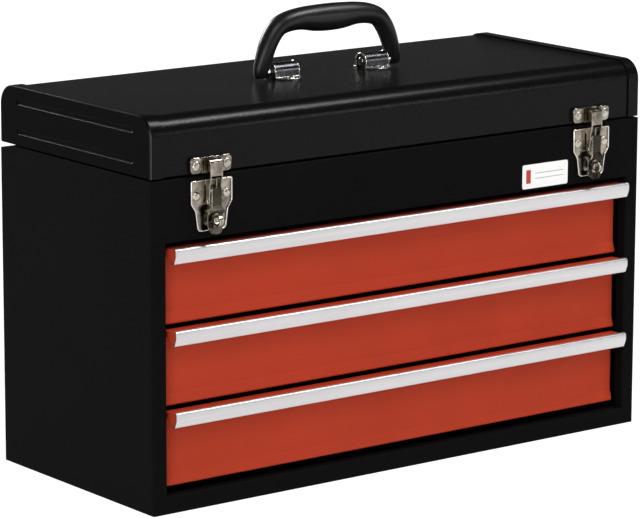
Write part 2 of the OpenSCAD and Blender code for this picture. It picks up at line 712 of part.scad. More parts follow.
module stay_stud() color(zinc) {
    z = hinge_z - stay_rise;
    rod_x(stud_head_r, -half_w + sheet, stay_x - stay_t / 2 - 0.3, stay_y, z);
    rod_x(stud_r, stay_x - stay_t, stay_x + stay_t / 2 + 0.3, stay_y, z);
    rod_x(stud_head_r, stay_x + stay_t / 2 + 0.3, stay_x + stay_t / 2 + 1.5, stay_y, z);
}

module stay_pivot() color(zinc) {
    z = hinge_z + stay_rise;
    rod_x(stud_head_r, -half_w + cap_t, stay_x - stay_t / 2 - 0.3, stay_y, z);
    rod_x(stud_r, stay_x - stay_t, stay_x + stay_t / 2 + 0.3, stay_y, z);
    rod_x(stud_head_r, stay_x + stay_t / 2 + 0.3, stay_x + stay_t / 2 + 1.5, stay_y, z);
}

// Slotted arm that hangs from the lid and slides over the cabinet's stud
module lid_stay() color(zinc) {
    z = hinge_z + stay_rise;
    half = 4;
    slot_r = stud_r + 0.25;
    difference() {
        union() {
            for (drop = [0, stay_slot[1] + 0.6])
                rod_x(half, stay_x - stay_t / 2, stay_x + stay_t / 2, stay_y, z - drop);
            translate([stay_x - stay_t / 2, stay_y - half, z - stay_slot[1] - 0.6])
                cube([stay_t, 2 * half, stay_slot[1] + 0.6]);
        }
        rod_x(stud_r + run_fit, stay_x - 2, stay_x + 2, stay_y, z);
        for (drop = stay_slot) rod_x(slot_r, stay_x - 2, stay_x + 2, stay_y, z - drop);
        translate([stay_x - 2, stay_y - slot_r, z - stay_slot[1]])
            cube([4, 2 * slot_r, stay_slot[1] - stay_slot[0]]);
    }
}

// ---------- Assembly ----------

cabinet_shell();
bottom_pan();
front_frame();
till_floor();
upright_front_left();
upright_rear_left();
upright_front_right();
upright_rear_right();
outer_rails(1);  // outer_rails_1
outer_rails(2);  // outer_rails_2
outer_rails(3);  // outer_rails_3
hinge_leaf_cabinet();
hinge_leaf_lid();
hinge_pin();
label_plate();
latch_plate(false);  // latch_plate_left
latch_plate(true);  // latch_plate_right
padlock_eye(false);  // padlock_eye_left
padlock_eye(true);  // padlock_eye_right
plate_rivets();
lever_pins();
stay_stud();
lid_skin();
lid_cap_left();
lid_cap_right();
catch_plate(false);  // catch_left
catch_plate(true);  // catch_right
catch_rivets();
handle_bracket_left();
handle_bracket_right();
bracket_rivets();
stay_pivot();
handle_grip();
handle_bushes();
handle_pins();
lid_stay();
lever(false);  // lever_left
lever(true);  // lever_right
arm_pin(false);  // arm_pin_left
arm_pin(true);  // arm_pin_right
draw_arm(false);  // draw_arm_left
draw_arm(true);  // draw_arm_right
ball_cages(1);  // ball_cages_1
ball_cages(2);  // ball_cages_2
ball_cages(3);  // ball_cages_3
drawer_pan(1);  // drawer_pan_1
drawer_pan(2);  // drawer_pan_2
drawer_pan(3);  // drawer_pan_3
drawer_front(1);  // drawer_front_1
drawer_front(2);  // drawer_front_2
drawer_front(3);  // drawer_front_3
drawer_pull(1);  // drawer_pull_1
drawer_pull(2);  // drawer_pull_2
drawer_pull(3);  // drawer_pull_3
inner_rails(1);  // inner_rails_1
inner_rails(2);  // inner_rails_2
inner_rails(3);  // inner_rails_3
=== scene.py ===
"""Looks of a portable steel tool box: paints, plated metals, rivets, moulded grip, label and stage.

The file is laid out as a Blender add-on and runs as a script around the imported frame.
Everything is in metres. +X is to the right, +Y to the back, +Z up.
"""

import json
import math

import bmesh
import bpy
from bpy.props import FloatProperty, FloatVectorProperty, IntProperty, PointerProperty
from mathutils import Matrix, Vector
from mathutils.bvhtree import BVHTree

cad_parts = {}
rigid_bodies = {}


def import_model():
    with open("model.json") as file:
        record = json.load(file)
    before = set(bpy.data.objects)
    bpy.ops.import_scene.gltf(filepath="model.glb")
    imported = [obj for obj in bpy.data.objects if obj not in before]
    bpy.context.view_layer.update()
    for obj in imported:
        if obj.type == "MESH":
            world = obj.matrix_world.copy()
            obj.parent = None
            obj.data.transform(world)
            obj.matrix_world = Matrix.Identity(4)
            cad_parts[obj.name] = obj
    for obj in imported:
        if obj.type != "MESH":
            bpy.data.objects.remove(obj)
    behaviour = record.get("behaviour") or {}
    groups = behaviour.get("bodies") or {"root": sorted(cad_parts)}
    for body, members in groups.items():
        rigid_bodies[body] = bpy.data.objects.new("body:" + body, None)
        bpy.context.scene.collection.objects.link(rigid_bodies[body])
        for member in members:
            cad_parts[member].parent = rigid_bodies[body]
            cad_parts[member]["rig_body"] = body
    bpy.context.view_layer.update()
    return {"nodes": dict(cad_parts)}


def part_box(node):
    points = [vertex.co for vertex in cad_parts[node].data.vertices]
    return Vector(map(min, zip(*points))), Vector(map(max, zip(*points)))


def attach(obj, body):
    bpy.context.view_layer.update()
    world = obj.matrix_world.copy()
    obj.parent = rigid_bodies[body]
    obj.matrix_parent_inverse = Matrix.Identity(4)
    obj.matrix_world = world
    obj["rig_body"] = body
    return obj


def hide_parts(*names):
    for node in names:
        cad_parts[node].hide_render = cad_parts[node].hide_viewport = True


bl_info = {
    "name": "Portable Tool Box",
    "version": (1, 0, 0),
    "blender": (4, 5, 0),
    "location": "3D View > Sidebar > Tool Box",
    "description": "Dresses the packed tool box in its paints, plated metals, rivets, grip and label",
    "category": "Object",
}

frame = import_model()
NODES = frame["nodes"]
MM = 0.001
SIDES = ("left", "right")
DRAWERS = (1, 2, 3)

# Points of the loose triangles that are closer than this are one point
SAME_POINT = 0.002 * MM
# The Mix node's sockets for colours, whose names it also gives to its sockets for numbers
MIX_A, MIX_B, MIX_RESULT = 6, 7, 2


def linear(hex_colour):
    """Linear RGB of an sRGB hex colour."""
    steps = [int(hex_colour[i:i + 2], 16) / 255 for i in (1, 3, 5)]
    return tuple(c / 12.92 if c <= 0.04045 else ((c + 0.055) / 1.055) ** 2.4 for c in steps)


def colour_property(name, hex_colour, description):
    """Colour that a user can change, with its default given in sRGB hex."""
    return FloatVectorProperty(
        name=name, description=description, subtype="COLOR", size=3, min=0, max=1, default=linear(hex_colour))


# ---------- Properties ----------

class ToolBoxSizes(bpy.types.PropertyGroup):
    """Sizes of the finish and of the small pieces."""

    sheet_edge: FloatProperty(
        name="Sheet Edge", description="Rounding of the painted sheet edges",
        default=0.25 * MM, min=0, max=0.5 * MM, precision=5, subtype="DISTANCE", unit="LENGTH")
    hardware_edge: FloatProperty(
        name="Hardware Edge", description="Rounding of the pressed edges of latches and straps",
        default=0.3 * MM, min=0, max=0.4 * MM, precision=5, subtype="DISTANCE", unit="LENGTH")
    lid_grain: FloatProperty(
        name="Lid Grain", description="Width of one pebble of the lid's textured powder coat",
        default=1.5 * MM, min=0.5 * MM, max=4 * MM, precision=5, subtype="DISTANCE", unit="LENGTH")
    latch_rivet: FloatProperty(
        name="Latch Rivet", description="Head radius of the rivets on the latch base plates",
        default=3.7 * MM, min=2 * MM, max=4 * MM, precision=5, subtype="DISTANCE", unit="LENGTH")
    catch_rivet: FloatProperty(
        name="Catch Rivet", description="Head radius of the rivets on the catches",
        default=4.1 * MM, min=2 * MM, max=4.5 * MM, precision=5, subtype="DISTANCE", unit="LENGTH")
    strap_rivet: FloatProperty(
        name="Strap Rivet", description="Head radius of the rivets on the handle straps",
        default=3.0 * MM, min=2 * MM, max=3.5 * MM, precision=5, subtype="DISTANCE", unit="LENGTH")
    weld_count: IntProperty(
        name="Spot Welds", description="Number of spot welds along each hinge leaf",
        default=12, min=4, max=30)
    rim_radius: FloatProperty(
        name="Plate Rim", description="Radius of the rolled rim on the latch base plates",
        default=0.6 * MM, min=0.3 * MM, max=0.8 * MM, precision=5, subtype="DISTANCE", unit="LENGTH")
    seam_radius: FloatProperty(
        name="Mould Seam", description="Radius of the parting line left on the grip by its mould",
        default=0.25 * MM, min=0.1 * MM, max=0.5 * MM, precision=5, subtype="DISTANCE", unit="LENGTH")


class ToolBoxColours(bpy.types.PropertyGroup):
    """Colours of the paints, plastics and prints."""

    cabinet: colour_property("Cabinet Paint", "#100f10", "Satin black powder coat of the cabinet")
    lid: colour_property("Lid Paint", "#0c0b0c", "Black powder coat of the lid, textured and smooth")
    # Partly painted highlight: besides standing for paint rubbed shiny, this lighter coat lights up the lid's
    # folds and upright corners
    edges: colour_property("Worn Edges", "#1d1c1d", "Powder coat on the lid's folded edges, rubbed shiny")
    drawers: colour_property("Drawer Paint", "#b53d25", "Satin red powder coat of the drawer fronts")
    pulls: colour_property("Pulls", "#dddbdc", "Clear-anodised aluminium of the drawer pulls")
    # Painted shade: this nickel is darker than plain nickel plate, which stands in for the dark reflections
    # on the flat faces
    latches: colour_property("Latches", "#8b8378", "Nickel plate on the flat faces of the latches")
    # Painted shade: the lever faces are darker than the other nickel, which stands in for the dark
    # reflections on them
    levers: colour_property("Levers", "#38332d", "Darker nickel plate on the faces of the levers")
    # Partly painted highlight: besides standing for polish, this lighter metal lights up rounded edges, rims
    # and the ends that look along X
    polished: colour_property("Polished Edges", "#dad6ce", "Edges and rims that the tumbling has polished")
    rivets: colour_property("Rivets", "#b9b3a9", "Nickel plate of the latch rivets, dulled by their setting")
    # Painted shade: this chrome is much darker than plain chrome plate, which stands in for the dark
    # reflections on the straps
    straps: colour_property("Straps", "#454547", "Chrome plate of the handle straps")
    slides: colour_property("Slides", "#b4b8bb", "Zinc plate of the slides and the stay")
    grip: colour_property("Grip", "#141314", "Moulded polypropylene of the grip")
    label: colour_property("Label", "#f4f4f2", "White vinyl of the label")
    label_stripe: colour_property("Label Stripe", "#b8392c", "Printed stripe of the label")
    label_lines: colour_property("Label Lines", "#8d8d90", "Printed writing lines of the label")


# ---------- Making meshes ----------

def link(name, mesh, *materials):
    """New object at the origin with this mesh and these materials."""
    if materials:
        mesh.materials.clear()
    for material in materials:
        mesh.materials.append(material)
    made = bpy.data.objects.new(name, mesh)
    bpy.context.scene.collection.objects.link(made)
    return made


def settled(piece):
    """Turns a piece's modifiers into plain mesh."""
    graph = bpy.context.evaluated_depsgraph_get()
    mesh = bpy.data.meshes.new_from_object(piece.evaluated_get(graph))
    piece.modifiers.clear()
    piece.data = mesh
    return piece


def shade(piece, sharp_angle=50):
    """Smooth shading with the edges over this angle kept sharp."""
    mesh = piece.data
    mesh.shade_smooth()
    mesh.set_sharp_from_angle(angle=math.radians(sharp_angle))


def loose_groups(work):
    """Vertices of each separate solid of a bmesh whose doubles are merged."""
    groups = []
    seen = set()
    for start in work.verts:
        if start in seen:
            continue
        seen.add(start)
        group = [start]
        for vert in group:
            for edge in vert.link_edges:
                far = edge.other_vert(vert)
                if far not in seen:
                    seen.add(far)
                    group.append(far)
        groups.append(group)
    return groups


def merged_copy(node, floor=None):
    """Mesh of a CAD node with its triangles joined and its flat faces made whole.

    Where a floor is given, solids that lie wholly under that height are left out.
    """
    mesh = NODES[node].data.copy()
    if mesh.has_custom_normals:
        mesh.attributes.remove(mesh.attributes["custom_normal"])
    work = bmesh.new()
    work.from_mesh(mesh)
    bmesh.ops.remove_doubles(work, verts=work.verts, dist=SAME_POINT)
    if floor is not None:
        for group in loose_groups(work):
            if max(vert.co.z for vert in group) < floor:
                bmesh.ops.delete(work, geom=group, context="VERTS")
    bmesh.ops.dissolve_degenerate(work, edges=work.edges, dist=0.5 * SAME_POINT)
    bmesh.ops.dissolve_limit(work, angle_limit=math.radians(0.4), verts=work.verts, edges=work.edges)
    work.to_mesh(mesh)
    work.free()
    return mesh


def place(piece, node):
    """Gives a piece the body of a CAD node."""
    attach(piece, body_of(node))
    return piece


def body_of(node):
    """The body that carries a CAD node."""
    return NODES[node]["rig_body"]


def finish_node(node, edge, *materials, choose=None, floor=None):
    """Rounded and smoothly shaded piece that takes the place of one CAD node.

    The first material is on the faces and the second, if any, on the rounded edges.
    choose gives the number of a face's material, and floor is as in merged_copy.
    """
    cover(node, materials[0])
    piece = link(f"{node}_finish", merged_copy(node, floor), *materials)
    for face in piece.data.polygons:
        face.material_index = choose(face) if choose else 0
    bevel = piece.modifiers.new("Edges", "BEVEL")
    bevel.width = edge
    bevel.segments = 2
    bevel.limit_method = "ANGLE"
    bevel.angle_limit = math.radians(35)
    bevel.material = min(1, len(materials) - 1)
    settled(piece)
    shade(piece)
    weighted = piece.modifiers.new("Even Faces", "WEIGHTED_NORMAL")
    weighted.keep_sharp = True
    weighted.weight = 80
    settled(piece)
    place(piece, node)
    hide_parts(node)
    return piece


def painted_highlight_ends(face):
    """Second material, a lighter metal that paints a highlight, on the faces that look along X."""
    return int(abs(face.normal.x) > 0.8)


def cover(node, material):
    """Puts a material on a CAD node's own slots."""
    for slot in NODES[node].material_slots:
        slot.material = material


# ---------- Materials ----------

def add(tree, kind, inputs=None, **settings):
    """Adds a node, with its settings and with its inputs set to values or linked to sockets."""
    made = tree.nodes.new(kind)
    for name, value in settings.items():
        setattr(made, name, value)
    for name, value in (inputs or {}).items():
        if isinstance(value, bpy.types.NodeSocket):
            tree.links.new(value, made.inputs[name])
        else:
            made.inputs[name].default_value = value
    return made


def start_material(name):
    """New material with only its output, and the Object coordinates that its patterns read."""
    material = bpy.data.materials.new(name)
    material.use_nodes = True
    tree = material.node_tree
    tree.nodes.clear()
    place_on = add(tree, "ShaderNodeTexCoord").outputs["Object"]
    return material, tree, place_on


def end_material(material, tree, **inputs):
    """Principled surface of a material, its inputs given by name with underscores for spaces."""
    named = {name.replace("_", " "): value for name, value in inputs.items()}
    surface = add(tree, "ShaderNodeBsdfPrincipled", named)
    add(tree, "ShaderNodeOutputMaterial", {"Surface": surface.outputs[0]})
    return material


def per_metre(size):
    """Texture scale that gives a pattern of this size."""
    return 1 / size


def rgba(colour, lighter=1.0):
    """Colour with an alpha, made lighter or darker."""
    return (*(min(1.0, c * lighter) for c in colour), 1.0)


def satin_powder_coat(name, colour, roughness, specular, flow=2.2 * MM):
    """Polyester powder coat, baked: an even film with a low orange peel and a soft sheen."""
    material, tree, spot = start_material(name)
    # Film thickness drifts over hand-sized areas, which shifts the colour a little
    drift = add(tree, "ShaderNodeTexNoise", {
        "Vector": spot, "Scale": per_metre(70 * MM), "Detail": 2.0, "Roughness": 0.5})
    tint = add(tree, "ShaderNodeMix", {
        0: drift.outputs["Fac"], MIX_A: rgba(colour, 0.9), MIX_B: rgba(colour, 1.1)}, data_type="RGBA")
    # The cured film keeps a flow pattern, which breaks up reflections
    peel = add(tree, "ShaderNodeTexNoise", {
        "Vector": spot, "Scale": per_metre(flow), "Detail": 1.5, "Roughness": 0.45})
    bump = add(tree, "ShaderNodeBump", {
        "Height": peel.outputs["Fac"], "Strength": 0.5, "Distance": 0.03 * MM})
    sheen = add(tree, "ShaderNodeMapRange", {
        "Value": peel.outputs["Fac"], "To Min": roughness - 0.04, "To Max": roughness + 0.05})
    return end_material(
        material, tree, Base_Color=tint.outputs[MIX_RESULT], Roughness=sheen.outputs["Result"],
        Specular_IOR_Level=specular, Normal=bump.outputs["Normal"])


def textured_powder_coat(name, colour, grain):
    """Textured powder coat: the film draws up into small pebbles as it cures, like fine leather."""
    material, tree, spot = start_material(name)
    # The pebbles vary in width, so the coordinates are pushed about before the cells are drawn
    push = add(tree, "ShaderNodeTexNoise", {"Vector": spot, "Scale": per_metre(3 * grain), "Detail": 1.0})
    moved = add(tree, "ShaderNodeVectorMath", {
        0: push.outputs["Color"], 1: (grain, grain, grain), 2: spot}, operation="MULTIPLY_ADD")
    pebbles = add(tree, "ShaderNodeTexVoronoi", {
        "Vector": moved.outputs[0], "Scale": per_metre(grain), "Smoothness": 0.6}, feature="SMOOTH_F1")
    wrinkle = add(tree, "ShaderNodeTexNoise", {
        "Vector": spot, "Scale": per_metre(0.6 * grain), "Detail": 2.0, "Roughness": 0.6})
    relief = add(tree, "ShaderNodeMath", {
        0: wrinkle.outputs["Fac"], 1: 0.5, 2: pebbles.outputs["Distance"]}, operation="MULTIPLY_ADD")
    bump = add(tree, "ShaderNodeBump", {
        "Height": relief.outputs[0], "Strength": 0.55, "Distance": 0.09 * MM}, invert=True)
    # Painted shade: the colour is darker in the low gaps between the pebbles and lighter on their raised tops
    tint = add(tree, "ShaderNodeMix", {
        0: pebbles.outputs["Distance"],
        MIX_A: rgba(colour, 1.15), MIX_B: rgba(colour, 0.75)}, data_type="RGBA")
    return end_material(
        material, tree, Base_Color=tint.outputs[MIX_RESULT], Roughness=0.26, Specular_IOR_Level=0.09,
        Normal=bump.outputs["Normal"])


def anodised_aluminium(name, colour):
    """Extruded 6063 aluminium, etched and clear-anodised: die lines run the length of the profile."""
    material, tree, spot = start_material(name)
    # Die lines are long along X and 0.7 mm apart, drawn coarser than the real 0.1 mm so that they show
    stretched = add(tree, "ShaderNodeMapping", {
        "Vector": spot, "Scale": (per_metre(180 * MM), per_metre(0.7 * MM), per_metre(0.7 * MM))})
    lines = add(tree, "ShaderNodeTexNoise", {
        "Vector": stretched.outputs[0], "Scale": 1.0, "Detail": 3.0, "Roughness": 0.6})
    clouds = add(tree, "ShaderNodeTexNoise", {"Vector": spot, "Scale": per_metre(60 * MM), "Detail": 2.0})
    mixed = add(tree, "ShaderNodeMath", {
        0: clouds.outputs["Fac"], 1: 0.6, 2: lines.outputs["Fac"]}, operation="MULTIPLY_ADD")
    tint = add(tree, "ShaderNodeMix", {
        0: mixed.outputs[0], MIX_A: rgba(colour, 1.08), MIX_B: rgba(colour, 0.9)}, data_type="RGBA")
    gloss = add(tree, "ShaderNodeMapRange", {
        "Value": lines.outputs["Fac"], "To Min": 0.34, "To Max": 0.5})
    bump = add(tree, "ShaderNodeBump", {
        "Height": lines.outputs["Fac"], "Strength": 0.35, "Distance": 0.01 * MM})
    return end_material(
        material, tree, Base_Color=tint.outputs[MIX_RESULT], Metallic=1.0, Roughness=gloss.outputs["Result"],
        Normal=bump.outputs["Normal"])


def plated_steel(name, colour, smooth, dull, ripple, patches=0.0):
    """Bright plate over pressed steel: mirror-like, with press ripples, handling haze and dark patches."""
    material, tree, spot = start_material(name)
    haze = add(tree, "ShaderNodeTexNoise", {
        "Vector": spot, "Scale": per_metre(6 * MM), "Detail": 4.0, "Roughness": 0.65})
    gloss = add(tree, "ShaderNodeMapRange", {
        "Value": haze.outputs["Fac"], "From Min": 0.3, "From Max": 0.75, "To Min": smooth, "To Max": dull})
    # The colour turns lighter and darker in random patches about as wide as a finger
    patch_noise = add(tree, "ShaderNodeTexNoise", {
        "Vector": spot, "Scale": per_metre(13 * MM), "Detail": 2.0, "Roughness": 0.55})
    depth = add(tree, "ShaderNodeMapRange", {
        "Value": patch_noise.outputs["Fac"], "From Min": 0.35, "From Max": 0.65,
        "To Min": 1.0 + patches, "To Max": 1.0 - patches})
    tint = add(tree, "ShaderNodeVectorMath", {
        0: tuple(colour), "Scale": depth.outputs["Result"]}, operation="SCALE")
    # The press leaves low ripples, which bend the reflections
    waves = add(tree, "ShaderNodeTexNoise", {"Vector": spot, "Scale": per_metre(3.5 * MM), "Detail": 1.0})
    bump = add(tree, "ShaderNodeBump", {"Height": waves.outputs["Fac"], "Strength": 0.6, "Distance": ripple})
    return end_material(
        material, tree, Base_Color=tint.outputs[0], Metallic=1.0, Roughness=gloss.outputs["Result"],
        Normal=bump.outputs["Normal"])


def zinc_plate(name, colour):
    """Clear-passivated zinc plate: a soft grey metal with faint blue and yellow drifts."""
    material, tree, spot = start_material(name)
    drift = add(tree, "ShaderNodeTexNoise", {"Vector": spot, "Scale": per_metre(14 * MM), "Detail": 3.0})
    cool = (colour[0] * 0.93, colour[1] * 0.97, colour[2] * 1.05)
    warm = (colour[0] * 1.05, colour[1] * 1.0, colour[2] * 0.88)
    tint = add(tree, "ShaderNodeMix", {
        0: drift.outputs["Fac"], MIX_A: rgba(cool), MIX_B: rgba(warm)}, data_type="RGBA")
    grit = add(tree, "ShaderNodeTexNoise", {
        "Vector": spot, "Scale": per_metre(0.8 * MM), "Detail": 2.0})
    gloss = add(tree, "ShaderNodeMapRange", {"Value": grit.outputs["Fac"], "To Min": 0.26, "To Max": 0.46})
    bump = add(tree, "ShaderNodeBump", {
        "Height": grit.outputs["Fac"], "Strength": 0.4, "Distance": 0.01 * MM})
    return end_material(
        material, tree, Base_Color=tint.outputs[MIX_RESULT], Metallic=1.0, Roughness=gloss.outputs["Result"],
        Normal=bump.outputs["Normal"])


def moulded_polypropylene(name, colour):
    """Injection-moulded polypropylene: a spark-eroded mould leaves a fine even grain."""
    material, tree, spot = start_material(name)
    # The real grain is 0.3 mm; it is drawn at 0.6 mm so that it shows
    grain = add(tree, "ShaderNodeTexVoronoi", {"Vector": spot, "Scale": per_metre(0.6 * MM)})
    worn = add(tree, "ShaderNodeTexNoise", {"Vector": spot, "Scale": per_metre(22 * MM), "Detail": 3.0})
    tint = add(tree, "ShaderNodeMix", {
        0: worn.outputs["Fac"], MIX_A: rgba(colour, 0.85), MIX_B: rgba(colour, 1.2)}, data_type="RGBA")
    gloss = add(tree, "ShaderNodeMapRange", {"Value": worn.outputs["Fac"], "To Min": 0.3, "To Max": 0.42})
    bump = add(tree, "ShaderNodeBump", {
        "Height": grain.outputs["Distance"], "Strength": 0.35, "Distance": 0.04 * MM})
    return end_material(
        material, tree, Base_Color=tint.outputs[MIX_RESULT], Roughness=gloss.outputs["Result"], IOR=1.49,
        Specular_IOR_Level=0.3, Normal=bump.outputs["Normal"])


def printed_vinyl(name, colour):
    """Calendered vinyl film or its printing ink: smooth, with a slight waviness from the roller."""
    material, tree, spot = start_material(name)
    wave = add(tree, "ShaderNodeTexNoise", {"Vector": spot, "Scale": per_metre(9 * MM), "Detail": 1.0})
    tint = add(tree, "ShaderNodeMix", {
        0: wave.outputs["Fac"], MIX_A: rgba(colour, 0.97), MIX_B: rgba(colour, 1.02)}, data_type="RGBA")
    bump = add(tree, "ShaderNodeBump", {
        "Height": wave.outputs["Fac"], "Strength": 0.3, "Distance": 0.02 * MM})
    return end_material(
        material, tree, Base_Color=tint.outputs[MIX_RESULT], Roughness=0.38, Specular_IOR_Level=0.3,
        Normal=bump.outputs["Normal"])


def material_of(kind):
    """The material of one kind, made at its first use from the scene's colours."""
    found = bpy.data.materials.get(kind)
    if found and found.get("toolbox"):
        return found
    colours = bpy.context.scene.toolbox_colours
    sizes = bpy.context.scene.toolbox_sizes
    makers = {
        "cabinet_powder_coat": lambda n: satin_powder_coat(
            n, colours.cabinet, roughness=0.44, specular=0.01),
        "lid_textured_coat": lambda n: textured_powder_coat(n, colours.lid, sizes.lid_grain),
        "lid_smooth_coat": lambda n: satin_powder_coat(
            n, colours.lid, roughness=0.44, specular=0.01),
        # Lighter than the lid paint, so it paints highlights where it goes, besides standing for rubbed paint
        "worn_edge_coat": lambda n: satin_powder_coat(
            n, colours.edges, roughness=0.3, specular=0.3, flow=5 * MM),
        "drawer_powder_coat": lambda n: satin_powder_coat(
            n, colours.drawers, roughness=0.4, specular=0.08, flow=3 * MM),
        "anodised_pull": lambda n: anodised_aluminium(n, colours.pulls),
        # Painted shade: the darkened nickel of the latches' flat faces
        "nickel_plate": lambda n: plated_steel(
            n, colours.latches, smooth=0.12, dull=0.34, ripple=0.06 * MM, patches=0.5),
        # Painted shade: a darker copy of the nickel for the lever faces
        "dark_nickel": lambda n: plated_steel(
            n, colours.levers, smooth=0.1, dull=0.3, ripple=0.05 * MM, patches=0.4),
        # Painted highlight as well as polish: the lighter nickel for edges, rims and ends
        "polished_nickel": lambda n: plated_steel(
            n, colours.polished, smooth=0.08, dull=0.2, ripple=0.02 * MM),
        "rubbed_nickel": lambda n: plated_steel(
            n, colours.rivets, smooth=0.26, dull=0.44, ripple=0.1 * MM, patches=0.2),
        # Painted shade: the darkened chrome of the strap faces
        "chrome_plate": lambda n: plated_steel(
            n, colours.straps, smooth=0.18, dull=0.36, ripple=0.12 * MM, patches=0.5),
        # Painted highlight as well as polish: the lighter chrome for the strap ends, edges and rims, the pins
        # and the rivets
        "polished_chrome": lambda n: plated_steel(
            n, colours.polished, smooth=0.04, dull=0.12, ripple=0.02 * MM),
        "zinc_plate": lambda n: zinc_plate(n, colours.slides),
        "polypropylene": lambda n: moulded_polypropylene(n, colours.grip),
        "vinyl": lambda n: printed_vinyl(n, colours.label),
        "ink_stripe": lambda n: printed_vinyl(n, colours.label_stripe),
        "ink_lines": lambda n: printed_vinyl(n, colours.label_lines),
    }
    made = makers[kind](kind)
    made["toolbox"] = True
    return made


# ---------- Geometry Nodes ----------

def start_tree(name, sockets):
    """New tree with a geometry in and out and the named inputs, given as name: (type, default)."""
    tree = bpy.data.node_groups.new(name, "GeometryNodeTree")
    interface = tree.interface
    interface.new_socket("Geometry", in_out="INPUT", socket_type="NodeSocketGeometry")
    interface.new_socket("Geometry", in_out="OUTPUT", socket_type="NodeSocketGeometry")
    for label, (kind, default) in sockets.items():
        socket = interface.new_socket(label, in_out="INPUT", socket_type=kind)
        if default is not None:
            socket.default_value = default
    return tree, add(tree, "NodeGroupInput").outputs


def end_tree(tree, geometry, material):
    """Realizes the instances, sets the material and joins the output."""
    real = add(tree, "GeometryNodeRealizeInstances", {"Geometry": geometry})
    coated = add(tree, "GeometryNodeSetMaterial", {"Geometry": real.outputs[0], "Material": material})
    add(tree, "NodeGroupOutput", {"Geometry": coated.outputs[0]})
    return tree


def domes_tree():
    """Domed heads on points: a half ball, pressed flat underneath, on each vertex."""
    tree, given = start_tree("Domes On Points", {
        "Head Radius": ("NodeSocketFloat", 3 * MM),
        "Head Height": ("NodeSocketFloat", 1.5 * MM),
        "Axis": ("NodeSocketVector", (0, 0, 1)),
        "Material": ("NodeSocketMaterial", None),
    })
    ball = add(tree, "GeometryNodeMeshUVSphere", {"Segments": 28, "Rings": 14, "Radius": 1.0})
    at = add(tree, "GeometryNodeInputPosition")
    split = add(tree, "ShaderNodeSeparateXYZ", {"Vector": at.outputs[0]})
    # The ball has a radius of 1, and its underside is pressed flat at this height
    seat = -0.12
    above = add(tree, "ShaderNodeMath", {0: split.outputs["Z"], 1: seat}, operation="MAXIMUM")
    joined = add(tree, "ShaderNodeCombineXYZ", {
        "X": split.outputs["X"], "Y": split.outputs["Y"], "Z": above.outputs[0]})
    cut = add(tree, "GeometryNodeSetPosition", {
        "Geometry": ball.outputs["Mesh"], "Position": joined.outputs[0]})
    size = add(tree, "ShaderNodeCombineXYZ", {
        "X": given["Head Radius"], "Y": given["Head Radius"], "Z": given["Head Height"]})
    head = add(tree, "GeometryNodeTransform", {"Geometry": cut.outputs[0], "Scale": size.outputs[0]})
    smooth = add(tree, "GeometryNodeSetShadeSmooth", {"Geometry": head.outputs[0]})
    turn = add(tree, "FunctionNodeAlignRotationToVector", {"Vector": given["Axis"]}, axis="Z")
    points = add(tree, "GeometryNodeMeshToPoints", {"Mesh": given["Geometry"]})
    heads = add(tree, "GeometryNodeInstanceOnPoints", {
        "Points": points.outputs[0], "Instance": smooth.outputs[0], "Rotation": turn.outputs[0]})
    return end_tree(tree, heads.outputs[0], given["Material"])


def bead_tree():
    """Round bead along a chain of edges, for rolled rims, turned edges and a mould's parting line."""
    tree, given = start_tree("Bead On Path", {
        "Bead Radius": ("NodeSocketFloat", 0.25 * MM),
        "Sides": ("NodeSocketInt", 8),
        "Material": ("NodeSocketMaterial", None),
    })
    path = add(tree, "GeometryNodeMeshToCurve", {"Mesh": given["Geometry"]})
    bead = add(tree, "GeometryNodeCurvePrimitiveCircle", {
        "Resolution": given["Sides"], "Radius": given["Bead Radius"]})
    swept = add(tree, "GeometryNodeCurveToMesh", {
        "Curve": path.outputs[0], "Profile Curve": bead.outputs[0], "Fill Caps": True})
    smooth = add(tree, "GeometryNodeSetShadeSmooth", {"Geometry": swept.outputs[0]})
    return end_tree(tree, smooth.outputs[0], given["Material"])


def grow(name, points, edges, tree, inputs):
    """Plain mesh that a tree makes from points and edges, with the tree's inputs set by identifier."""
    mesh = bpy.data.meshes.new(name)
    mesh.from_pydata(points, edges, [])
    piece = link(name, mesh)
    modifier = piece.modifiers.new("Tree", "NODES")
    modifier.node_group = tree
    for item in tree.interface.items_tree:
        if item.in_out == "INPUT" and item.name in inputs:
            modifier[item.identifier] = inputs[item.name]
    settled(piece)
    if not piece.data.polygons:
        raise RuntimeError(f"the tree made nothing for {name}")
    return piece


def domes(name, points, axis, radius, height, material):
    """Row or group of domed heads."""
    tree = bpy.data.node_groups.get("Domes On Points") or domes_tree()
    return grow(name, points, [], tree, {
        "Head Radius": radius, "Head Height": height, "Axis": axis, "Material": material})


def bead(name, path, radius, material, sides=10, closed=False):
    """Round bead along a path of points, which may run back to its start."""
    edges = [(i, i + 1) for i in range(len(path) - 1)]
    if closed:
        edges.append((len(path) - 1, 0))
    tree = bpy.data.node_groups.get("Bead On Path") or bead_tree()
    return grow(name, path, edges, tree, {"Bead Radius": radius, "Sides": sides, "Material": material})


def solids_of(node):
    """Lowest and highest corner of each separate solid of a CAD node."""
    work = bmesh.new()
    work.from_mesh(NODES[node].data)
    bmesh.ops.remove_doubles(work, verts=work.verts, dist=SAME_POINT)
    boxes = []
    for group in loose_groups(work):
        low = Vector([min(v.co[i] for v in group) for i in range(3)])
        high = Vector([max(v.co[i] for v in group) for i in range(3)])
        boxes.append((low, high))
    work.free()
    return boxes


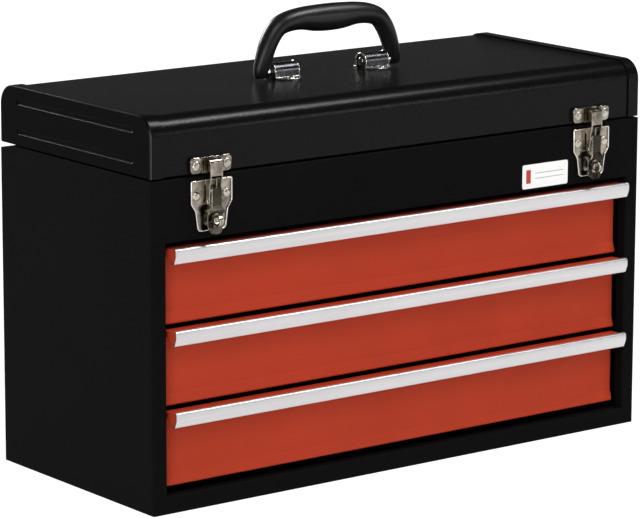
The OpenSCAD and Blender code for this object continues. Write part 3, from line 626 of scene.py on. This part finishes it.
def rim_outline(node, inset):
    """Outline of a node's raised front rim, drawn in by the inset, as points in order."""
    mesh = merged_copy(node)
    work = bmesh.new()
    work.from_mesh(mesh)
    bpy.data.meshes.remove(mesh)
    # The rim is the forward face with the widest reach in X
    forward = [f for f in work.faces if f.normal.y < -0.99]
    reach = {}
    for face in forward:
        level = round(face.calc_center_median().y / MM, 2)
        xs = [v.co.x for v in face.verts]
        low, high = reach.get(level, (math.inf, -math.inf))
        reach[level] = (min(low, *xs), max(high, *xs))
    widest = max(high - low for low, high in reach.values())
    rim_y = min(level for level, (low, high) in reach.items() if high - low > widest - 0.1 * MM)
    on_rim = {f for f in forward if abs(f.calc_center_median().y / MM - rim_y) < 0.02}
    border = [e for e in work.edges if len(on_rim.intersection(e.link_faces)) == 1]
    loops = []
    left = dict.fromkeys(border)
    while left:
        edge = next(iter(left))
        del left[edge]
        chain = [edge.verts[0], edge.verts[1]]
        while chain[-1] != chain[0]:
            onward = [e for e in chain[-1].link_edges if e in left]
            if not onward:
                break
            del left[onward[0]]
            chain.append(onward[0].other_vert(chain[-1]))
        loops.append([v.co.copy() for v in chain[:-1]])
    work.free()
    outer = max(loops, key=lambda loop: max(p.x for p in loop) - min(p.x for p in loop))
    turn = sum(a.x * b.z - b.x * a.z for a, b in zip(outer, outer[1:] + outer[:1]))
    drawn_in = []
    for before, point, after in zip(outer[-1:] + outer[:-1], outer, outer[1:] + outer[:1]):
        along = (after - before).normalized()
        inward = Vector((-along.z, 0, along.x)) * math.copysign(1, turn)
        drawn_in.append(point + inset * inward)
    return drawn_in


def outermost(points, centre):
    """The points further from a centre than their neighbours' middle, in the order given."""
    span = [(p - centre).length for p in points]
    kept = []
    for i, p in enumerate(points):
        near = span[max(0, i - 2):i + 3]
        if span[i] > (max(near) + min(near)) / 2:
            kept.append(p)
    return kept


# ---------- Operators ----------

class TOOLBOX_OT_cabinet(bpy.types.Operator):
    """Coat the folded cabinet, its front frame, till floor and posts in satin black powder coat"""

    bl_idname = "toolbox.cabinet"
    bl_label = "Cabinet"

    def execute(self, context):
        edge = context.scene.toolbox_sizes.sheet_edge
        coat = material_of("cabinet_powder_coat")
        posts = [n for n in NODES if n.startswith("upright_")]
        for node in ("cabinet_shell", "front_frame", "bottom_pan", "till_floor", *posts):
            finish_node(node, edge, coat)
        return {"FINISHED"}


class TOOLBOX_OT_lid(bpy.types.Operator):
    """Coat the lid in textured black powder coat, smooth on the ends, with a lighter worn edge coat along the
    folds and corners that also paints highlights there
    """

    bl_idname = "toolbox.lid"
    bl_label = "Lid"

    def execute(self, context):
        edge = context.scene.toolbox_sizes.sheet_edge
        grained = material_of("lid_textured_coat")
        # The worn edge coat is lighter than the lid paint: on the skin's lower folds and rounded edges and on
        # the caps' upright corners it paints highlights
        worn = material_of("worn_edge_coat")
        smooth = material_of("lid_smooth_coat")
        finish_node("lid_skin", edge, grained, worn, choose=self.skin_coat)
        for side in SIDES:
            finish_node(f"lid_cap_{side}", edge, grained, smooth, worn, choose=self.cap_coat)
        return {"FINISHED"}

    def skin_coat(self, face):
        """Grained coat on the skin, and the lighter worn edge coat on the folds of its lower edges, where it
        paints a highlight line.
        """
        faces_down, faces_out = face.normal.z < -0.3, abs(face.normal.y) > 0.15
        # Painted highlight: the folds that face down and out take the lighter worn edge coat
        return int(faces_down and faces_out)

    def cap_coat(self, face):
        """Smooth coat on a cap's end, grained on its band and over its beads, and the lighter worn edge coat
        on its upright corners, where it paints a highlight.
        """
        grained, smooth, worn = 0, 1, 2
        outward = abs(face.normal.x)
        on_band, sloping = outward < 0.3, outward < 0.97
        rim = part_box("lid_cap_left")[1] - Vector((0, 3 * MM, 3 * MM))
        if on_band:
            return grained
        # Painted highlight: the upright corners at the front and back take the lighter worn edge coat
        if sloping and abs(face.center.y) > rim.y:
            return worn
        over_bead = sloping and face.normal.z > 0.2 and face.center.z < rim.z
        return grained if over_bead else smooth


class TOOLBOX_OT_drawers(bpy.types.Operator):
    """Finish the drawer pans, the red fronts and the aluminium pulls"""

    bl_idname = "toolbox.drawers"
    bl_label = "Drawers"

    def execute(self, context):
        edge = context.scene.toolbox_sizes.sheet_edge
        for n in DRAWERS:
            finish_node(f"drawer_pan_{n}", edge, material_of("cabinet_powder_coat"))
            finish_node(f"drawer_front_{n}", edge, material_of("drawer_powder_coat"))
            finish_node(f"drawer_pull_{n}", edge, material_of("anodised_pull"))
        return {"FINISHED"}


class TOOLBOX_OT_slides(bpy.types.Operator):
    """Zinc-plate the rails and ball cages of the drawer slides, and the lid stay"""

    bl_idname = "toolbox.slides"
    bl_label = "Slides and Stay"

    def execute(self, context):
        edge = context.scene.toolbox_sizes.hardware_edge
        zinc = material_of("zinc_plate")
        for n in DRAWERS:
            cover(f"ball_cages_{n}", zinc)
            for node in (f"outer_rails_{n}", f"inner_rails_{n}"):
                finish_node(node, edge, zinc)
        for node in ("lid_stay", "stay_stud", "stay_pivot"):
            finish_node(node, edge, zinc)
        return {"FINISHED"}


class TOOLBOX_OT_latches(bpy.types.Operator):
    """Nickel-plate the latch plates, levers, draw arms, catches and padlock eyes"""

    bl_idname = "toolbox.latches"
    bl_label = "Latches"

    def execute(self, context):
        sizes = context.scene.toolbox_sizes
        edge = sizes.hardware_edge
        polish_highlight_metal = material_of("polished_nickel")
        for side in SIDES:
            # Painted shade and highlight: each lever's faces take the darker nickel, its ends and rounded
            # edges the lighter nickel with a polish
            finish_node(
                f"lever_{side}", edge, material_of("dark_nickel"), polish_highlight_metal, choose=painted_highlight_ends)
            for part in ("latch_plate", "draw_arm", "catch", "padlock_eye", "arm_pin"):
                # Rounded edges take the lighter nickel with a polish, which paints highlights along them
                finish_node(f"{part}_{side}", edge, material_of("nickel_plate"), polish_highlight_metal)
            self.rim(f"latch_plate_{side}", polish_highlight_metal, sizes.rim_radius)
        finish_node("lever_pins", edge, polish_highlight_metal)
        return {"FINISHED"}

    def rim(self, node, polish_highlight_metal, radius):
        """Rolled rim of a base plate, rubbed to a polish, whose lighter nickel also paints a highlight all
        the way round.
        """
        path = rim_outline(node, 0.9 * radius)
        path = [point + Vector((0, 0.5 * radius, 0)) for point in path]
        place(bead(f"{node}_rim", path, radius, polish_highlight_metal, closed=True), node)


class TOOLBOX_OT_rivets(bpy.types.Operator):
    """Set the domed rivets of the latches, catches and handle straps"""

    bl_idname = "toolbox.rivets"
    bl_label = "Rivets"

    def execute(self, context):
        sizes = context.scene.toolbox_sizes
        for node, radius, kind, axis in (
                ("plate_rivets", sizes.latch_rivet, "rubbed_nickel", Vector((0, -1, 0))),
                ("catch_rivets", sizes.catch_rivet, "rubbed_nickel", Vector((0, -1, 0))),
                ("bracket_rivets", sizes.strap_rivet, "polished_chrome", Vector((0, 0, 1)))):
            material = material_of(kind)
            cover(node, material)
            boxes = solids_of(node)
            along = max(range(3), key=lambda i: abs(axis[i]))
            height = boxes[0][1][along] - boxes[0][0][along]
            seats = [(low + high) / 2 - axis * height / 2 for low, high in boxes]
            heads = domes(f"{node}_heads", seats, axis, radius, height, material)
            place(heads, node)
            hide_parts(node)
        return {"FINISHED"}


class TOOLBOX_OT_hinge(bpy.types.Operator):
    """Coat the piano hinge and press its spot welds"""

    bl_idname = "toolbox.hinge"
    bl_label = "Piano Hinge"

    def execute(self, context):
        sizes = context.scene.toolbox_sizes
        coat = material_of("cabinet_powder_coat")
        cover("hinge_pin", material_of("zinc_plate"))
        weld_radius, weld_height = 2.3 * MM, 0.16 * MM
        inset = 14 * MM
        for node, far_end, margin in (("hinge_leaf_cabinet", -1, 8 * MM), ("hinge_leaf_lid", 1, 6 * MM)):
            finish_node(node, 0.5 * sizes.sheet_edge, coat)
            low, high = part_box(node)
            leaf_y = self.leaf_face(node, far_end)
            weld_z = high.z - margin if far_end > 0 else low.z + margin
            step = (high.x - low.x - 2 * inset) / (sizes.weld_count - 1)
            seats = [Vector((low.x + inset + i * step, leaf_y, weld_z)) for i in range(sizes.weld_count)]
            welds = domes(f"{node}_welds", seats, Vector((0, 1, 0)), weld_radius, weld_height, coat)
            place(welds, node)
        return {"FINISHED"}

    def leaf_face(self, node, far_end):
        """Outer face of the flat part of a leaf, at the end away from the knuckles."""
        points = [v.co for v in NODES[node].data.vertices]
        end = (max if far_end > 0 else min)(p.z for p in points)
        return max(p.y for p in points if abs(p.z - end) < 0.1 * MM)


class TOOLBOX_OT_handle(bpy.types.Operator):
    """Mould the grip with its parting line, and chrome the straps"""

    bl_idname = "toolbox.handle"
    bl_label = "Handle"

    def execute(self, context):
        sizes = context.scene.toolbox_sizes
        plastic = material_of("polypropylene")
        chrome = material_of("chrome_plate")
        polish_highlight_metal = material_of("polished_chrome")
        lid_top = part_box("lid_skin")[1].z
        for side in SIDES:
            # Painted shade and highlight: each strap's faces take the darkened chrome, its ends and rounded
            # edges the lighter chrome with a polish
            finish_node(
                f"handle_bracket_{side}", sizes.hardware_edge, chrome, polish_highlight_metal,
                choose=painted_highlight_ends, floor=lid_top)
            self.strap_rims(f"handle_bracket_{side}", polish_highlight_metal, 0.75 * sizes.rim_radius, lid_top)
        finish_node("handle_pins", 2 * sizes.hardware_edge, polish_highlight_metal)
        finish_node("handle_bushes", sizes.hardware_edge, plastic)
        self.parting_line(self.grip(plastic), plastic, sizes.seam_radius)
        return {"FINISHED"}

    def strap_rims(self, node, polish_highlight_metal, radius, lid_top):
        """Turned edge over the arch of a strap, at both of its ends, in chrome with a high polish, whose
        lighter colour also paints a highlight along it.
        """
        low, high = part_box(node)
        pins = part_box("handle_pins")
        pivot = (pins[0].z + pins[1].z) / 2
        arch = high.z - pivot
        for name, end, inward in (("inner", low.x, 1), ("outer", high.x, -1)):
            over = {}
            for vert in NODES[node].data.vertices:
                y, z = vert.co.y, vert.co.z - pivot
                reach = math.hypot(y, z) if z > 0 else abs(y)
                on_arch = abs(reach - arch) < 0.1 * MM and vert.co.z > lid_top
                if on_arch and abs(vert.co.x - end) < 0.05 * MM:
                    over[round(math.atan2(y, z), 3)] = Vector((end + inward * radius, y, vert.co.z))
            path = [over[turn] for turn in sorted(over)]
            place(bead(f"{node}_{name}_edge", path, radius, polish_highlight_metal), node)

    def grip(self, plastic):
        """Smooth skin over the swept grip."""
        cover("handle_grip", plastic)
        piece = link("handle_grip_finish", merged_copy("handle_grip"), plastic)
        edges = piece.modifiers.new("Feet", "BEVEL")
        edges.width = 0.8 * MM
        edges.segments = 3
        edges.limit_method = "ANGLE"
        edges.angle_limit = math.radians(50)
        skin = piece.modifiers.new("Skin", "SUBSURF")
        skin.levels = 1
        skin.render_levels = 1
        settled(piece)
        shade(piece, 60)
        place(piece, "handle_grip")
        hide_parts("handle_grip")
        return piece

    def parting_line(self, grip, plastic, radius):
        """Low bead round the outside of the grip, where the halves of its mould met."""
        work = bmesh.new()
        work.from_mesh(NODES["handle_grip"].data)
        bmesh.ops.remove_doubles(work, verts=work.verts, dist=SAME_POINT)
        middle = [v.co.copy() for v in work.verts if abs(v.co.y) < 0.01 * MM]
        work.free()
        low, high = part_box("handle_grip")
        # The outline is read by angle round a point low between the legs
        hub = Vector(((low.x + high.x) / 2, 0, low.z + 0.35 * (high.z - low.z)))
        reach = [p for p in middle if p.z > hub.z]
        by_angle = sorted(reach, key=lambda p: math.atan2(p.x - hub.x, p.z - hub.z))
        skin = BVHTree.FromPolygons(
            [v.co for v in grip.data.vertices], [f.vertices for f in grip.data.polygons])
        path = []
        for point in outermost(by_angle, hub):
            spot, normal, _, _ = skin.find_nearest(point)
            path.append(spot - 0.5 * radius * normal)
        place(bead("grip_parting_line", path, radius, plastic, sides=8), "handle_grip")


class TOOLBOX_OT_label(bpy.types.Operator):
    """Lay the vinyl label with a plain stripe and two writing lines"""

    bl_idname = "toolbox.label"
    bl_label = "Label"

    def execute(self, context):
        finish_node("label_plate", 0.08 * MM, material_of("vinyl"))
        low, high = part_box("label_plate")
        stripe_left, stripe_right, stripe_margin = low.x + 4 * MM, low.x + 9 * MM, 4.5 * MM
        self.print_bars("label_stripe", "ink_stripe", low, [
            (stripe_left, stripe_right, low.z + stripe_margin, high.z - stripe_margin)])
        line_left, line_right, line_height = low.x + 14 * MM, high.x - 5 * MM, 0.5 * MM
        self.print_bars("label_lines", "ink_lines", low, [
            (line_left, line_right, z, z + line_height) for z in (low.z + 8 * MM, low.z + 12.4 * MM)])
        return {"FINISHED"}

    def print_bars(self, name, kind, low, bars):
        """Thin ink bars on the label's face, each given as left, right, bottom and top."""
        film = 0.03 * MM
        work = bmesh.new()
        for left, right, bottom, top in bars:
            box = bmesh.ops.create_cube(work, size=1.0)["verts"]
            for vert in box:
                vert.co.x = left if vert.co.x < 0 else right
                vert.co.y = low.y - film if vert.co.y < 0 else low.y + film
                vert.co.z = bottom if vert.co.z < 0 else top
        mesh = bpy.data.meshes.new(name)
        work.to_mesh(mesh)
        work.free()
        place(link(name, mesh, material_of(kind)), "label_plate")


class TOOLBOX_OT_stage(bpy.types.Operator):
    """Set the pale floor, the soft lights, the world and the camera"""

    bl_idname = "toolbox.stage"
    bl_label = "Stage"

    def execute(self, context):
        scene = context.scene
        scene.view_settings.view_transform = "Standard"
        self.world(scene)
        self.floor()
        self.lamp("key_softbox", place_at=(-1.0, -1.7, 2.1), size=(1.5, 1.2), watts=25)
        self.lamp("top_softbox", place_at=(0.8, -0.55, 1.8), size=(0.45, 0.5), watts=21)
        self.lamp("front_softbox", place_at=(1.35, -1.9, 0.75), size=(0.4, 0.35), watts=4)
        self.lamp("side_softbox", place_at=(-1.9, -1.5, 0.5), size=(0.8, 0.9), watts=19)
        self.lamp("back_softbox", place_at=(-0.3, 2.4, 1.3), size=(1.2, 1.0), watts=64)
        self.camera(scene)
        return {"FINISHED"}

    def world(self, scene):
        """White behind the box, a white sweep and dark ceiling in reflections, a dim grey as light."""
        world = bpy.data.worlds.new("Studio")
        scene.world = world
        world.use_nodes = True
        tree = world.node_tree
        tree.nodes.clear()
        rays = add(tree, "ShaderNodeLightPath").outputs
        mirrored = add(tree, "ShaderNodeMath", {
            0: rays["Is Glossy Ray"], 1: rays["Is Transmission Ray"]}, operation="MAXIMUM")
        # The sweep fades just over the horizon, and the studio above it is dark
        direction = add(tree, "ShaderNodeTexCoord").outputs["Generated"]
        up = add(tree, "ShaderNodeSeparateXYZ", {"Vector": direction})
        level = add(tree, "ShaderNodeMapRange", {
            "Value": up.outputs["Z"], "From Min": 0.0, "From Max": 0.08, "To Min": 1.0, "To Max": 0.03})
        room = add(tree, "ShaderNodeBackground", {"Color": (1, 1, 1, 1), "Strength": 0.2})
        sweep = add(tree, "ShaderNodeBackground", {
            "Color": (1, 1, 1, 1), "Strength": level.outputs["Result"]})
        white = add(tree, "ShaderNodeBackground", {"Color": (1, 1, 1, 1), "Strength": 1.0})
        lit = add(tree, "ShaderNodeMixShader", {
            0: mirrored.outputs[0], 1: room.outputs[0], 2: sweep.outputs[0]})
        mixed = add(tree, "ShaderNodeMixShader", {
            0: rays["Is Camera Ray"], 1: lit.outputs[0], 2: white.outputs[0]})
        add(tree, "ShaderNodeOutputWorld", {"Surface": mixed.outputs[0]})

    def floor(self):
        """White floor that keeps the object's shadow."""
        mesh = bpy.data.meshes.new("floor")
        half = 14
        corners = [(-half, -half, 0), (half, -half, 0), (half, half, 0), (-half, half, 0)]
        mesh.from_pydata(corners, [], [(0, 1, 2, 3)])
        floor = link("floor", mesh)
        # A hair under the base, so that the two faces don't flicker
        floor.location.z = -0.05 * MM
        material = bpy.data.materials.new("pale_floor")
        material.use_nodes = True
        tree = material.node_tree
        tree.nodes.clear()
        rays = add(tree, "ShaderNodeLightPath").outputs
        glossy = add(tree, "ShaderNodeMath", {
            0: rays["Is Camera Ray"], 1: rays["Is Glossy Ray"]}, operation="MAXIMUM")
        seen = add(tree, "ShaderNodeMath", {
            0: glossy.outputs[0], 1: rays["Is Transmission Ray"]}, operation="MAXIMUM")
        # Near the box the floor takes its shadow, and far off it blends into the white behind it
        reach = add(tree, "ShaderNodeVectorMath", {
            0: add(tree, "ShaderNodeTexCoord").outputs["Object"]}, operation="LENGTH")
        fade = add(tree, "ShaderNodeMapRange", {
            "Value": reach.outputs["Value"], "From Min": 0.7, "From Max": 2.6, "To Min": 0.8, "To Max": 1.0})
        share = add(tree, "ShaderNodeMath", {0: seen.outputs[0], 1: fade.outputs[0]}, operation="MULTIPLY")
        matt = add(tree, "ShaderNodeBsdfDiffuse", {"Color": (0.8, 0.8, 0.8, 1)})
        white = add(tree, "ShaderNodeEmission", {"Color": (1, 1, 1, 1), "Strength": 1.2})
        mixed = add(tree, "ShaderNodeMixShader", {
            0: share.outputs[0], 1: matt.outputs[0], 2: white.outputs[0]})
        add(tree, "ShaderNodeOutputMaterial", {"Surface": mixed.outputs[0]})
        floor.data.materials.append(material)

    def lamp(self, name, place_at, size, watts):
        """Rectangular softbox aimed at the middle of the box."""
        light = bpy.data.lights.new(name, "AREA")
        light.shape = "RECTANGLE"
        light.size, light.size_y = size
        light.energy = watts
        lamp = bpy.data.objects.new(name, light)
        bpy.context.scene.collection.objects.link(lamp)
        middle = Vector((0, 0, 0.17))
        aim = middle - Vector(place_at)
        lamp.location = place_at
        lamp.rotation_euler = aim.to_track_quat("-Z", "Y").to_euler()

    def camera(self, scene):
        """Long lens from the front left, a little over the lid."""
        data = bpy.data.cameras.new("camera")
        data.sensor_width = 36
        data.lens = 202.71
        data.shift_x = 0.00086
        data.shift_y = -0.00496
        data.clip_end = 60
        camera = bpy.data.objects.new("camera", data)
        scene.collection.objects.link(camera)
        camera.location = (-1.82056, -2.38274, 0.79163)
        camera.rotation_euler = [math.radians(a) for a in (78.1359, -0.1641, -37.2421)]
        scene.camera = camera


class TOOLBOX_PT_panel(bpy.types.Panel):
    """Sizes, colours and pieces of the tool box"""

    bl_idname = "TOOLBOX_PT_panel"
    bl_label = "Tool Box"
    bl_space_type = "VIEW_3D"
    bl_region_type = "UI"
    bl_category = "Tool Box"

    def draw(self, context):
        layout = self.layout
        scene = context.scene
        for title, group in (("Sizes", scene.toolbox_sizes), ("Colours", scene.toolbox_colours)):
            box = layout.box()
            box.label(text=title)
            for name in group.bl_rna.properties.keys():
                if name not in ("rna_type", "name"):
                    box.prop(group, name)
        box = layout.box()
        box.label(text="Pieces")
        for operator in OPERATORS:
            box.operator(operator.bl_idname)


OPERATORS = (
    TOOLBOX_OT_cabinet, TOOLBOX_OT_lid, TOOLBOX_OT_drawers, TOOLBOX_OT_slides, TOOLBOX_OT_latches,
    TOOLBOX_OT_rivets, TOOLBOX_OT_hinge, TOOLBOX_OT_handle, TOOLBOX_OT_label, TOOLBOX_OT_stage)
CLASSES = (ToolBoxSizes, ToolBoxColours, *OPERATORS, TOOLBOX_PT_panel)


def register():
    for made in CLASSES:
        bpy.utils.register_class(made)
    bpy.types.Scene.toolbox_sizes = PointerProperty(type=ToolBoxSizes)
    bpy.types.Scene.toolbox_colours = PointerProperty(type=ToolBoxColours)


def unregister():
    del bpy.types.Scene.toolbox_colours
    del bpy.types.Scene.toolbox_sizes
    for made in reversed(CLASSES):
        bpy.utils.unregister_class(made)


def main():
    register()
    for operator in OPERATORS:
        group, name = operator.bl_idname.split(".")
        getattr(getattr(bpy.ops, group), name)()


if __name__ == "__main__":
    main()
